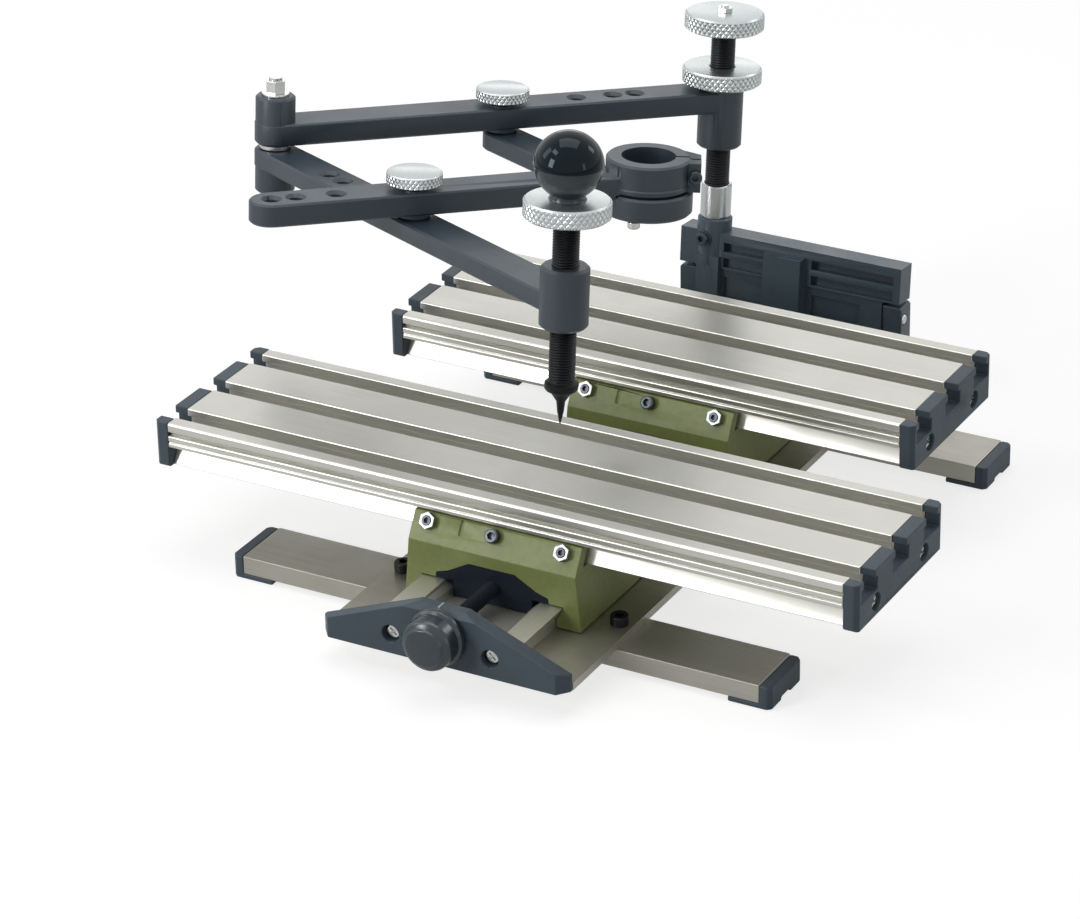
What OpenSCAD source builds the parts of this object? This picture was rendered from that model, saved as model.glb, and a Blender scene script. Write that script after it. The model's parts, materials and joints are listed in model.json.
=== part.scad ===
// Engraving machine: two cross tables on one long base plate,
// and a pantograph with a ball-handled stylus on a tilting bracket.
// The origin is on the bench below the centre of the base plate.
// X runs along the tables, Y to the back, Z up. Sizes are millimetres.

/* [Base] */
// Length of the base plate, front to back
base_length = 270; // [266:1:276]
// Width of the base plate
base_width = 97.4; // [95:0.2:99]
// Thickness of the base plate
plate_thickness = 3; // [2.5:0.1:4]
// Height of the plate's underside above the bench
plate_bottom = 9.2; // [8.6:0.1:10]
// Length of a cross rail without its caps
rail_length = 207; // [190:1:230]
// Width of a cross rail
rail_width = 25; // [22:0.5:28]
// Wall of the hollow cross rail
rail_wall = 1.8; // [1.4:0.1:2]
// Clearance between a rail's underside and the bench
rail_clearance = 2; // [1.5:0.1:2.5]
// Length of a rail cap outside the rail
rail_cap_length = 4.5; // [3:0.5:7]
// Distance from the plate's front edge to the front rail
rail_front_inset = 31.6; // [28:0.2:34]
// Distance from the plate's rear edge to the rear rail
rail_rear_inset = 29.6; // [27:0.2:34]
// Half distance between the two screws over one rail
plate_screw_x = 43.5; // [41:0.5:44]
// Thread diameter of the plate screws
plate_screw_d = 4; // [3:0.5:5]

/* [Longitudinal guide] */
// Height of the guide above the plate
guide_height = 8.4; // [7.5:0.1:9]
// Half distance between the outer edges of the lands
land_outer = 28; // [26:0.5:29]
// Half distance between the inner edges of the lands
land_inner = 18.8; // [17.5:0.2:20]
// Height of the dovetail flank under a land
guide_flank = 5; // [4:0.2:5.6]
// Dovetail angle, measured from the horizontal
dovetail_angle = 60; // [55:1:65]
// Half distance between the channel's side walls
channel_half = 16.2; // [15:0.2:17]

/* [Front bar and bracket foot] */
// Thickness of the bar on the plate's front edge
bar_thickness = 6; // [5:0.5:8]
// Depth of the screw recesses in the front bar
bar_recess = 4.2; // [3:0.2:4.4]
// Height of the bar at its middle, above the plate's underside
bar_height = 22.2; // [20:0.2:24]
// Height of the bar at its ends
bar_end_height = 6.6; // [5:0.2:9]
// Half width of the bar's flat top
bar_flat_half = 9.4; // [8:0.2:12]
// Half distance between the screws in the bar and in the bracket foot
end_screw_x = 19.6; // [19:0.1:20.4]
// Height of these screws above the plate's underside
end_screw_z = 7.8; // [7.6:0.1:8.6]
// Reach of these screws behind the bar
end_screw_reach = 6; // [4:0.5:8]
// Thickness of the bracket foot behind the plate
foot_thickness = 9; // [8:0.5:12]
// Height of the bracket foot's ears above the bench
ear_top = 39.8; // [38:0.2:40.4]
// Half width of the bracket foot
bracket_half = 47.9; // [46:0.1:48.6]
// Width of an ear
ear_width = 8; // [6:0.5:10]
// Height of the bracket foot between the ears
foot_web_top = 21.5; // [19:0.5:23]

/* [Cross table] */
// Height of the table top above the bench
table_top = 53.2; // [52.4:0.1:54]
// Length of the front table's extrusion
front_table_length = 268.4; // [240:0.2:300]
// Length of the rear table's extrusion
rear_table_length = 206.4; // [180:0.2:230]
// Thickness of a table's end cap
cap_thickness = 5.6; // [4.6:0.2:7]
// Height of a table's end cap
cap_height = 17.9; // [17.6:0.1:19]
// Width of a table
table_width = 70; // [68:0.5:74]
// Distance between the table's slots
slot_pitch = 25.5; // [24.5:0.1:26]
// Width of a slot's neck
slot_neck = 7.9; // [6:0.1:9]
// Depth of a slot's neck
slot_lip = 3; // [2.4:0.1:3.2]
// Width of the wide part of a slot
slot_pocket = 12.4; // [11.6:0.1:13]
// Depth of the wide part of a slot
slot_depth = 5.4; // [4.6:0.1:5.6]
// Depth of the ribbed side of the table
rib_bottom = 9.6; // [9.2:0.1:9.8]
// Depth of the table's dovetail, measured from the table top
table_depth = 17.5; // [17.2:0.1:17.6]
// Inset of the dovetail's foot from the table's side
dovetail_inset = 2.5; // [2:0.1:3.5]
// Height of the cap screws, below the table top
cap_screw_drop = 12.7; // [12.5:0.1:13]
// Distance of the cap screws from the table's middle
cap_screw_y = 19.8; // [19:0.2:21]
// Distance of the front table's middle from the middle of the plate, front to back
front_table_y = -63.6; // [-66:0.2:-60]
// Distance of the rear table's middle from the middle of the plate, front to back
rear_table_y = 54.1; // [50:0.2:58]
// Sideways position of the front table on its saddle
front_table_x = -2; // [-20:1:20]
// Sideways position of the rear table on its saddle
rear_table_x = -3.7; // [-20:0.1:20]

/* [Saddle] */
// Half width of a saddle's lip
lip_half = 33.4; // [32:0.2:34.4]
// Half width of a saddle at the bottom
leg_half = 35.2; // [34.6:0.2:37]
// Reach of the lip's lower edge in front of the table's side
lip_reach = 5.4; // [4.6:0.1:5.6]
// Gap between the lip's top and the table's ribs
lip_gap = 0.6; // [0.4:0.1:1]
// Sliding clearance of the dovetails
slide_gap = 0.3; // [0.2:0.05:0.4]
// Thickness of the gib strip
gib_thickness = 1.4; // [1.2:0.1:1.6]
// Half width of the arch at its foot
arch_half = 22.4; // [21:0.2:23]
// Half width of the arch's flat top
arch_top_half = 9.2; // [8:0.2:10]
// Height of the arch's top above the bench
arch_top = 29; // [28:0.2:30]
// Thickness of the feed nut's front wall, which closes the arch of the front saddle
cover_thickness = 2.5; // [1.5:0.5:4]
// Half distance between the gib screws
gib_screw_x = 26.7; // [25:0.1:28]
// Distance of the gib screws from the lip's top edge
gib_screw_down = 3.2; // [3.2:0.1:4.4]
// Width across the flats of the gib screw nuts
lip_nut_flats = 5.5; // [5:0.1:5.5]
// Thickness of the gib screw nuts
lip_nut_height = 2.4; // [2:0.1:3]
// Diameter of the gib screws
gib_screw_d = 3.4; // [3:0.1:3.6]
// Diameter of the lock screw's head
lock_head_d = 5.2; // [4.6:0.1:5.8]
// Sideways position of the lock screw on its saddle
lock_screw_x = -0.8; // [-2:0.1:2]
// Sideways position of the saddle's index notch
notch_x = -13.9; // [-16:0.1:-12]

/* [Feed spindle] */
// Height of the spindle above the bench
spindle_z = 21.6; // [21.2:0.1:22]
// Diameter of the spindle's thread
spindle_d = 6; // [5:0.2:6.6]
// Length of the spindle behind the front bar
spindle_length = 92; // [86:1:110]
// Largest diameter of the hand knob
knob_d = 21.4; // [19:0.2:23]
// Diameter of the hand knob's front face
knob_face_d = 15.4; // [13:0.2:17]
// Length of the hand knob
knob_length = 11.2; // [9:0.2:13]
// Running clearance between a shaft and its hole, on the radius
running_gap = 0.05; // [0.03:0.01:0.08]

/* [Tilting bracket] */
// Height of the hinge pin above the bench
hinge_z = 34.2; // [33.8:0.1:34.4]
// Distance of the hinge pin behind the plate's rear edge
hinge_back = 3; // [2.8:0.1:4.6]
// Diameter of the hinge pin
hinge_pin_d = 4; // [3:0.1:4.4]
// Backward lean of the lifted pantograph, degrees
lean = 5.6; // [4.8:0.1:6]
// Thickness of the leaf
leaf_thickness = 9.8; // [9:0.2:10]
// Height of the leaf above the hinge pin
leaf_top = 21.6; // [20:0.2:23]
// Depth of the leaf below the hinge pin
leaf_below = 8; // [6.5:0.5:9]
// Sideways position of the column
column_x = -35.2; // [-36:0.2:-34]
// Distance of the column's clamp screw from the column's middle
clamp_offset = 1.5; // [0:0.1:2]
// Depth of the column's clamp screw below the leaf's top
clamp_drop = 2.6; // [2.4:0.1:5]
// Diameter of the leaf's boss for the column
leaf_boss_d = 13.6; // [13:0.2:14.4]
// Height of this boss above the hinge pin
leaf_boss_top = 27; // [25:0.5:28]
// Diameter of the steel sleeve
sleeve_d = 12; // [11:0.2:13]
// Length of the sleeve that shows above the boss
sleeve_length = 13.4; // [11:0.2:15]

/* [Column] */
// Diameter of the column's thread
column_d = 9.6; // [9:0.2:10.4]
// Diameter of the large knurled discs
disc_d = 30.8; // [28:0.2:33]
// Thickness of the large knurled discs
disc_height = 6.7; // [5.6:0.1:8]
// Height of the column's top disc above the hinge pin
column_top = 109.6; // [106:0.2:114]
// Height of the lock disc's top above the hinge pin
lock_top = 87.8; // [87:0.1:90]

/* [Arms] */
// Distance from the column to the elbow
arm_a_length = 179.6; // [178:0.2:181]
// Distance from the elbow to the stylus
arm_b_length = 184.4; // [183:0.2:186]
// Direction of the upper arm, seen from above
arm_a_angle = 227.9; // [225:0.1:230]
// Direction of the stylus arm, seen from above
arm_b_angle = -25.6; // [-28:0.1:-23]
// Reduction of the pantograph
reduction = 2; // [1.98:0.01:2.02]
// Width of the arms
arm_width = 15.6; // [14.6:0.2:16.4]
// Thickness of the upper arms
upper_thickness = 8.4; // [8:0.1:8.6]
// Thickness of the lower arms
lower_thickness = 7.2; // [6.4:0.1:7.6]
// Chamfer on the arms' edges
arm_chamfer = 0.7; // [0.3:0.1:1]
// Height of the upper arms' top face above the hinge pin
upper_face = 79.4; // [79:0.1:79.8]
// Height of the lower arms' top face above the hinge pin
lower_face = 68.6; // [68.2:0.1:69]
// Diameter of the bosses at the column and the stylus
end_boss_d = 17.4; // [16.4:0.2:18.6]
// Diameter of the elbow bosses
elbow_boss_d = 15; // [14:0.2:16]
// Height of the upper elbow boss above the arm
elbow_rise = 9.8; // [9:0.2:11]
// Diameter of the elbow stud
elbow_stud_d = 5; // [4:0.2:6]
// Diameter of the link pivots
pivot_d = 5; // [4:0.2:5.6]
// Shift of the lower long arm's spare holes towards its pivot
spare_shift = 0.7; // [0:0.1:3]
// Diameter of the spare pivot holes
spare_hole_d = 5.4; // [4.4:0.2:6]
// Diameter of the knurled clamp screws' heads
clamp_head_d = 20.4; // [18:0.2:22]
// Thickness of the knurled clamp screws' heads
clamp_head_height = 4.4; // [3.6:0.1:5]

/* [Tool collar] */
// Bore of the tool collar
collar_bore = 20.1; // [20:0.1:21]
// Outside diameter of the upper collar ring
collar_d = 31.4; // [29:0.2:32]
// Outside diameter of the lower collar ring
lower_ring_d = 33.6; // [31:0.2:35]
// Height of the upper ring's top above the hinge pin
collar_top = 84.4; // [83:0.2:86]
// Height of the lower ring's underside above the hinge pin
collar_bottom = 63.4; // [62.6:0.2:64.4]
// Direction of the clamp lug, seen from above
lug_angle = 27; // [15:1:35]
// Width of the slit in the clamp lug
slit_width = 1.2; // [0.8:0.1:1.8]

/* [Stylus] */
// Diameter of the stylus rod's thread
stylus_d = 9.6; // [9:0.2:10.4]
// Height of the stylus tip above the hinge pin, along the lean
tip_height = 19.4; // [19:0.1:22]
// Height of the stylus flange above the tip
flange_rise = 12.6; // [11:0.2:14]
// Height of the knurled disc's top above the hinge pin
stylus_disc_top = 102; // [99:0.2:105]
// Height of the top of the stylus boss above the hinge pin
stylus_boss_top = 77.9; // [76:0.2:80]
// Length of the stylus boss
stylus_boss_length = 22.4; // [20:0.2:25]
// Diameter of the ball grip
ball_d = 24.6; // [22:0.2:27]
// Height of the ball's seat on the disc
ball_seat = 1.2; // [0.8:0.1:1.6]

/* [Hidden] */
$fn = 64;
eps = 0.01;
air = 0.3;
plate_top = plate_bottom + plate_thickness;
front_rail_y = rail_width / 2 + rail_front_inset - base_length / 2;
rear_rail_y = base_length / 2 - rail_rear_inset - rail_width / 2;
rail_ys = [front_rail_y, rear_rail_y];
land_z = plate_top + guide_height;
guide_run = guide_flank / tan(dovetail_angle);
guide_neck_z = land_z - guide_flank;
table_half = table_width / 2;
table_bottom = table_top - table_depth;
rib_z = table_top - rib_bottom;
dovetail_foot = table_half - dovetail_inset;
dovetail_run = (table_depth - rib_bottom) / tan(dovetail_angle);
dovetail_neck = dovetail_foot - dovetail_run;
lip_top = rib_z - lip_gap;
lip_slope = 90 - dovetail_angle;
break_z = lip_top - lip_reach / tan(lip_slope);
gib_offset = gib_thickness / sin(dovetail_angle);
channel_floor = table_bottom - slide_gap;
hinge_y = base_length / 2 + hinge_back;
foot_rear = base_length / 2 + foot_thickness;
leg_bottom = plate_top + slide_gap;
bar_front = -base_length / 2 - bar_thickness;
nut_front_gap = 0.2;
screw_port_d = 3.2;
cap_screw_d = 3;
recess_d = 6.6;
head_d = 5.8;
upper_bottom = upper_face - upper_thickness;
ring_split = upper_bottom + 1.6;
elbow_split = upper_bottom - 0.4;
elbow = arm_a_length * [cos(arm_a_angle), sin(arm_a_angle)];
stylus = elbow + arm_b_length * [cos(arm_b_angle), sin(arm_b_angle)];
pivot_a = elbow / reduction;
pivot_b = elbow + (stylus - elbow) / reduction;
tool = stylus / reduction;
spares = [3, 4, 5];
elbow_top = upper_face + elbow_rise;
elbow_bottom = 51.8;
arm_boss_bottom = 55.8;
boss_top = lock_top - disc_height;

// Shared shapes
function mirrored(half) = concat(half, [for (i = [len(half) - 1:-1:0]) [-half[i][0], half[i][1]]]);

// Puts a profile drawn in Y and Z along X, from x0 over a length
module along_x(x0, length) {
    translate([x0, 0, 0])
        rotate([90, 0, 90])
            linear_extrude(height = length)
                children();
}

// Puts a profile drawn in X and Z along Y, from y0 over a length
module along_y(y0, length) {
    translate([0, y0 + length, 0])
        rotate([90, 0, 0])
            linear_extrude(height = length)
                children();
}

// A round piece along Y that starts at y0
module rod_y(x, y0, z, d, length) {
    translate([x, y0, z])
        rotate([-90, 0, 0])
            cylinder(d = d, h = length);
}

// A round piece with chamfered rims that stands on z0
module turned(d, z0, z1, edge) {
    rotate_extrude()
        polygon([[0, z0], [d / 2 - edge, z0], [d / 2, z0 + edge],
                 [d / 2, z1 - edge], [d / 2 - edge, z1], [0, z1]]);
}

// A hexagonal prism that stands on z0
module hexagon(flats, z0, height) {
    translate([0, 0, z0])
        linear_extrude(height = height)
            polygon([for (i = [0:5]) flats / 2 / cos(30) * [cos(60 * i), sin(60 * i)]]);
}

// A socket cap screw with its head on z 0 and its shank downwards
module cap_screw(d, head, head_height, shank) {
    difference() {
        union() {
            turned(head, 0, head_height, 0.4);
            translate([0, 0, -shank])
                cylinder(d = d, h = shank + eps);
        }
        hexagon(d * 0.75, head_height - d * 0.5, d);
    }
}

// A cross-head screw along Y at a plate end, head outwards, side is -1 in front and 1 at the rear
module end_screw(x, head_y, side, shank) {
    translate([x, head_y, plate_bottom + end_screw_z])
        rotate([side > 0 ? -90 : 90, 0, 0])
            difference() {
                union() {
                    turned(head_d, 0, 2, 0.5);
                    translate([0, 0, -shank])
                        cylinder(d = cap_screw_d, h = shank + eps);
                }
                for (turn = [45, 135])
                    rotate([0, 0, turn])
                        translate([-1.7, -0.35, 1])
                            cube([3.4, 0.7, 2]);
            }
}

// Base
module base_plate() {
    color([0.62, 0.61, 0.58])
        difference() {
            translate([-base_width / 2, -base_length / 2, plate_bottom])
                cube([base_width, base_length, plate_thickness]);
            for (x = [-plate_screw_x, plate_screw_x], y = rail_ys)
                translate([x, y, plate_bottom - 1])
                    cylinder(d = plate_screw_d + 0.4, h = plate_thickness + 2);
        }
}

module rail(y) {
    rail_height = plate_bottom - rail_clearance;
    difference() {
        translate([-rail_length / 2, y - rail_width / 2, rail_clearance])
            cube([rail_length, rail_width, rail_height]);
        translate([-rail_length / 2 - 1, y - rail_width / 2 + rail_wall, rail_clearance + rail_wall])
            cube([rail_length + 2, rail_width - 2 * rail_wall, rail_height - 2 * rail_wall]);
        for (x = [-plate_screw_x, plate_screw_x])
            translate([x, y, plate_bottom - rail_wall - 1])
                cylinder(d = plate_screw_d + 0.2, h = rail_wall + 2);
    }
}

module cross_rails() {
    color([0.64, 0.62, 0.57])
        for (y = rail_ys)
            rail(y);
}

module rail_cap(y) {
    inset = rail_wall + 0.1;
    plug = 8;
    foot = 12;
    difference() {
        union() {
            translate([rail_length / 2 + eps, y - rail_width / 2, 0])
                linear_extrude(height = plate_bottom - 0.2)
                    polygon([[0, 0], [rail_cap_length - 1.5, 0], [rail_cap_length, 1.5],
                             [rail_cap_length, rail_width - 1.5], [rail_cap_length - 1.5, rail_width],
                             [0, rail_width]]);
            translate([rail_length / 2 - foot, y - rail_width / 2, 0])
                cube([foot + 1, rail_width, rail_clearance - 0.05]);
            translate([rail_length / 2 - plug, y - rail_width / 2 + inset, rail_clearance + inset])
                cube([plug + 1, rail_width - 2 * inset, plate_bottom - rail_clearance - 2 * inset]);
        }
        translate([rail_length / 2 - foot - 1, y - 3.5, -1])
            cube([foot + rail_cap_length + 2, 7, 2.2]);
    }
}

module rail_caps() {
    color([0.22, 0.25, 0.27])
        for (y = rail_ys) {
            rail_cap(y);
            mirror([1, 0, 0])
                rail_cap(y);
        }
}

module guide_rail() {
    half = [[land_outer - guide_run, plate_top], [land_outer - guide_run, guide_neck_z], [land_outer, land_z],
            [land_inner, land_z], [land_inner, land_z - 1], [channel_half, land_z - 2.4],
            [channel_half, plate_top + 2.6]];
    color([0.72, 0.71, 0.67])
        difference() {
            along_y(-base_length / 2 + air, base_length - 2 * air)
                polygon(mirrored(half));
            for (x = [-end_screw_x, end_screw_x])
                rod_y(x, -base_length / 2, plate_bottom + end_screw_z, screw_port_d, base_length);
        }
}

module plate_screws() {
    color([0.13, 0.14, 0.15])
        for (x = [-plate_screw_x, plate_screw_x], y = rail_ys)
            translate([x, y, plate_top])
                cap_screw(plate_screw_d, plate_screw_d * 1.7, plate_screw_d * 0.9, 5);
}

module front_bar() {
    edge = 2;
    half = [[base_width / 2, 0], [base_width / 2, bar_end_height], [bar_flat_half, bar_height]];
    rear = [for (p = half) [p[0], p[1] + plate_bottom]];
    color([0.23, 0.26, 0.29])
        difference() {
            intersection() {
                along_y(bar_front, bar_thickness)
                    polygon(mirrored(rear));
                linear_extrude(height = 60)
                    polygon([[-base_width / 2, -base_length / 2], [-base_width / 2, -base_length / 2 - 1.5],
                             [-base_width / 2 + 3.6, bar_front], [base_width / 2 - 3.6, bar_front],
                             [base_width / 2, -base_length / 2 - 1.5], [base_width / 2, -base_length / 2]]);
            }
            for (side = [-1, 1]) {
                rod_y(side * end_screw_x, bar_front - 1, plate_bottom + end_screw_z, recess_d, bar_recess + 1);
                rod_y(side * end_screw_x, bar_front, plate_bottom + end_screw_z, screw_port_d, bar_thickness + 1);
            }
            rod_y(0, bar_front - 1, spindle_z, spindle_d + 2 * running_gap, bar_thickness + 2);
            translate([0, bar_front, plate_bottom + bar_height])
                rotate([45, 0, 0])
                    cube([2 * base_width, edge * 1.4142, edge * 1.4142], center = true);
        }
}

module bar_screws() {
    color([0.75, 0.75, 0.73])
        for (x = [-end_screw_x, end_screw_x])
            end_screw(x, bar_front + bar_recess - eps, -1, bar_thickness + end_screw_reach + 3 - bar_recess);
}

module bracket_foot() {
    inner_half = bracket_half - ear_width;
    y0 = base_length / 2;
    color([0.2, 0.23, 0.26])
        difference() {
            union() {
                translate([-bracket_half, y0, 0])
                    cube([2 * bracket_half, foot_thickness, foot_web_top]);
                for (x = [-bracket_half, inner_half])
                    translate([x, y0, foot_web_top - eps])
                        cube([ear_width, foot_thickness, ear_top - foot_web_top]);
            }
            translate([-bracket_half - 1, hinge_y, hinge_z])
                rotate([0, 90, 0])
                    cylinder(d = hinge_pin_d + 0.02, h = 2 * bracket_half + 2);
            for (x = [-end_screw_x, end_screw_x]) {
                rod_y(x, y0 - 1, plate_bottom + end_screw_z, screw_port_d, foot_thickness + 2);
                rod_y(x, foot_rear - 3, plate_bottom + end_screw_z, recess_d, 4);
            }
            for (side = [-1, 1])
                translate([side * bracket_half, y0 + foot_thickness / 2, ear_top])
                    rotate([0, 45, 0])
                        cube([1.4, foot_thickness + 2, 1.4], center = true);
        }
}

module foot_screws() {
    color([0.13, 0.14, 0.15])
        for (x = [-end_screw_x, end_screw_x])
            end_screw(x, foot_rear - 3 + eps, 1, foot_thickness + 4);
}

module hinge_pin() {
    length = 2 * bracket_half + 0.6;
    color([0.78, 0.78, 0.76])
        translate([-length / 2, hinge_y, hinge_z])
            rotate([0, 90, 0])
                turned(hinge_pin_d, 0, length, 0.4);
}

// Feed spindle
module feed_spindle() {
    color([0.3, 0.31, 0.32])
        rod_y(0, bar_front - 6, spindle_z, spindle_d, bar_thickness + 6 + spindle_length);
}

module hand_knob() {
    r = knob_d / 2;
    f = knob_face_d / 2;
    color([0.22, 0.25, 0.28])
        translate([0, bar_front - air, spindle_z])
            rotate([90, 0, 0])
                difference() {
                    rotate_extrude()
                        polygon([[0, 0], [r - 1, 0], [r, 1], [r, 2.6], [r - 0.9, 3.4],
                                 [r - 1.1, knob_length - 3.6], [(r + f) / 2 - 0.6, knob_length - 1.6],
                                 [f, knob_length - 0.5], [f - 1.2, knob_length], [0, knob_length]]);
                    translate([0, 0, -1])
                        cylinder(d = spindle_d + 0.02, h = 7.3);
                }
}

// Saddles
// Distance of the table's dovetail flank from the table's middle, at a height
function flank(z) = dovetail_foot - (z - table_bottom) / tan(dovetail_angle);

// Profile of the rear lip and its leg, gap is left beside the table's dovetail
function lip(gap) = [[flank(channel_floor) + gap, channel_floor], [flank(lip_top) + gap, lip_top],
    [table_half, lip_top], [table_half + lip_reach, break_z], [table_half + lip_reach, leg_bottom]];

module saddle_body() {
    foot_in = land_outer + slide_gap;
    neck_in = land_outer - guide_run + slide_gap;
    half_leg = [[leg_half, leg_bottom], [lip_half, break_z], [lip_half, rib_z + 10]];
    front_lip = [for (point = lip(gib_offset + slide_gap)) [-point[0], point[1]]];
    difference() {
        intersection() {
            along_x(-60, 120)
                polygon(concat(lip(slide_gap), [for (i = [4:-1:0]) front_lip[i]]));
            along_y(-60, 120)
                polygon(mirrored(half_leg));
        }
        along_y(-60, 120)
            polygon(mirrored([[neck_in, leg_bottom - 1], [neck_in, guide_neck_z],
                              [foot_in, land_z + slide_gap], [arch_half, land_z + slide_gap],
                              [arch_half, arch_top - 6.2],
                              [arch_top_half * 1.9, arch_top - 4.6], [arch_top_half, arch_top]]));
        for (x = [-gib_screw_x, gib_screw_x])
            lip_axis(x)
                translate([0, 0, -9])
                    cylinder(d = gib_screw_d + 0.1, h = 12);
        lip_axis(lock_screw_x)
            translate([0, 0, -9])
                cylinder(d = gib_screw_d + 0.1, h = 12);
        lip_axis(notch_x)
            translate([-0.5, -2.6, -0.7])
                cube([1, 5.2, 2]);
    }
}

// Carries its children to the lip's face, with Z pointing out of the face, at x along the lip
module lip_axis(x) {
    translate([x, -table_half - gib_screw_down * sin(lip_slope), lip_top - gib_screw_down * cos(lip_slope)])
        rotate([dovetail_angle, 0, 0])
            children();
}

module lip_nuts() {
    for (x = [-gib_screw_x, gib_screw_x])
        lip_axis(x)
            difference() {
                rotate([0, 0, 30])
                    hexagon(lip_nut_flats, 0.02, lip_nut_height);
                cylinder(d = gib_screw_d + 0.1, h = 20, center = true);
            }
}

module gib_screws() {
    reach = gib_reach();
    for (x = [-gib_screw_x, gib_screw_x])
        lip_axis(x)
            difference() {
                translate([0, 0, -reach])
                    cylinder(d = gib_screw_d, h = reach + lip_nut_height + 0.3);
                hexagon(gib_screw_d * 0.5, lip_nut_height - 1, 2);
            }
}

// Distance from the lip's face to the gib strip, square to the face
function gib_reach() = (table_half - flank(lip_top) - gib_offset - slide_gap) * sin(dovetail_angle) - 0.02;

module lock_screw() {
    reach = gib_reach();
    lip_axis(lock_screw_x)
        difference() {
            union() {
                turned(lock_head_d, 0.02, 2.8, 0.4);
                translate([0, 0, -reach])
                    cylinder(d = gib_screw_d, h = reach + 0.1);
            }
            hexagon(2.4, 1.2, 3);
        }
}

// The strip lies against the lip's inner flank, clear of the table's dovetail
module gib_strip() {
    half = lip_half - 2;
    top = lip_top - 0.5;
    low = channel_floor + 0.3;
    along_x(-half, 2 * half)
        polygon([[-flank(low) - gib_offset - slide_gap + 0.02, low], [-flank(low) - slide_gap, low],
                 [-flank(top) - slide_gap, top], [-flank(top) - gib_offset - slide_gap + 0.02, top]]);
}

module front_saddle() {
    color([0.42, 0.46, 0.25])
        translate([0, front_table_y, 0])
            difference() {
                saddle_body();
                translate([0, -12, arch_top - eps])
                    cylinder(d = 4.2, h = 3);
            }
}

// A moulded block under the front saddle, its front wall closes the arch down to the channel's floor
module front_feed_nut() {
    front = -table_half - lip_reach + 0.2;
    low = channel_half - 0.5;
    wall = [[low, plate_top + 3], [low, land_z + slide_gap], [arch_half - 0.1, land_z + slide_gap],
            [arch_half - 0.1, arch_top - 6.3], [arch_top_half * 1.9 - 0.1, arch_top - 4.7],
            [arch_top_half - 0.1, arch_top - 0.1]];
    color([0.16, 0.17, 0.18])
        translate([0, front_table_y, 0])
            difference() {
                union() {
                    along_y(front, cover_thickness)
                        polygon(mirrored(wall));
                    translate([-8, front + 1, land_z - 5])
                        cube([16, -front - 6, arch_top - land_z + 5 - 0.02]);
                    translate([0, -12, arch_top - 1])
                        cylinder(d = 4, h = 3.6);
                }
                rod_y(0, front - 1, spindle_z, spindle_d + 2 * running_gap, -front);
            }
}

module front_gib() {
    color([0.7, 0.6, 0.35])
        translate([0, front_table_y, 0])
            gib_strip();
}

module front_lip_nuts() {
    color([0.85, 0.85, 0.84])
        translate([0, front_table_y, 0])
            lip_nuts();
}

module front_gib_screws() {
    color([0.3, 0.3, 0.31])
        translate([0, front_table_y, 0])
            gib_screws();
}

module front_lock_screw() {
    color([0.2, 0.21, 0.22])
        translate([0, front_table_y, 0])
            lock_screw();
}

module rear_saddle() {
    color([0.42, 0.46, 0.25])
        translate([0, rear_table_y, 0])
            saddle_body();
}

module rear_gib() {
    color([0.7, 0.6, 0.35])
        translate([0, rear_table_y, 0])
            gib_strip();
}

module rear_lip_nuts() {
    color([0.85, 0.85, 0.84])
        translate([0, rear_table_y, 0])
            lip_nuts();
}

module rear_gib_screws() {
    color([0.3, 0.3, 0.31])
        translate([0, rear_table_y, 0])
            gib_screws();
}

module rear_lock_screw() {
    color([0.2, 0.21, 0.22])
        translate([0, rear_table_y, 0])
            lock_screw();
}

// Tables
module slot_cuts(neck, lip, pocket, depth) {
    for (y = [-slot_pitch, 0, slot_pitch]) {
        translate([y - neck / 2, table_top - lip - 0.1])
            square([neck, lip + 1]);
        translate([y - pocket / 2, table_top - lip - depth])
            square([pocket, depth]);
    }
}

module table_section() {
    half = [[table_half, table_top - 0.6], [table_half, table_top - 3.4], [table_half - 1.8, table_top - 4.2],
            [table_half - 1.8, table_top - 4.8], [table_half, table_top - 5.2], [table_half, table_top - 7.3],
            [table_half - 0.6, table_top - 7.4], [table_half - 0.6, table_top - 7.8], [table_half, table_top - 7.9],
            [table_half, rib_z], [dovetail_neck, rib_z], [dovetail_foot, table_bottom]];
    difference() {
        polygon(mirrored(concat([[table_half - 0.6, table_top]], half)));
        slot_cuts(slot_neck, slot_lip, slot_pocket, slot_depth);
        for (y = [-cap_screw_y, cap_screw_y])
            translate([y, table_top - cap_screw_drop])
                circle(d = screw_port_d);
        for (y = [-1, 1])
            translate([y * slot_pitch / 2 - 4, table_top - 8.2])
                square([8, 5.4]);
        translate([-12, table_bottom - 1])
            square([24, 4]);
    }
}

module table_at(x, y, length) {
    translate([0, y, 0])
        along_x(x - length / 2, length)
            table_section();
}

module table_cap() {
    low = table_top - cap_height;
    round_edge = 1.6;
    difference() {
        intersection() {
            along_x(0, cap_thickness)
                difference() {
                    polygon([[-table_half, low + 1], [-table_half + 1, low],
                             [table_half - 1, low], [table_half, low + 1],
                             [table_half, table_top], [-table_half, table_top]]);
                    slot_cuts(slot_neck + 1.2, slot_lip, slot_pocket + 0.6, slot_depth);
                }
            linear_extrude(height = 100)
                polygon([[0, -table_half], [cap_thickness - round_edge, -table_half],
                         [cap_thickness, round_edge - table_half], [cap_thickness, table_half - round_edge],
                         [cap_thickness - round_edge, table_half], [0, table_half]]);
        }
        for (y = [-cap_screw_y, cap_screw_y])
            translate([0, y, table_top - cap_screw_drop])
                rotate([0, 90, 0]) {
                    translate([0, 0, -1])
                        cylinder(d = screw_port_d, h = 10);
                    translate([0, 0, cap_thickness - 3.2])
                        cylinder(d = recess_d, h = 4);
                }
    }
}

module cap_pair(x, y, length) {
    for (side = [0, 1])
        translate([x, y, 0])
            mirror([side, 0, 0])
                translate([length / 2, 0, 0])
                    table_cap();
}

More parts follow.
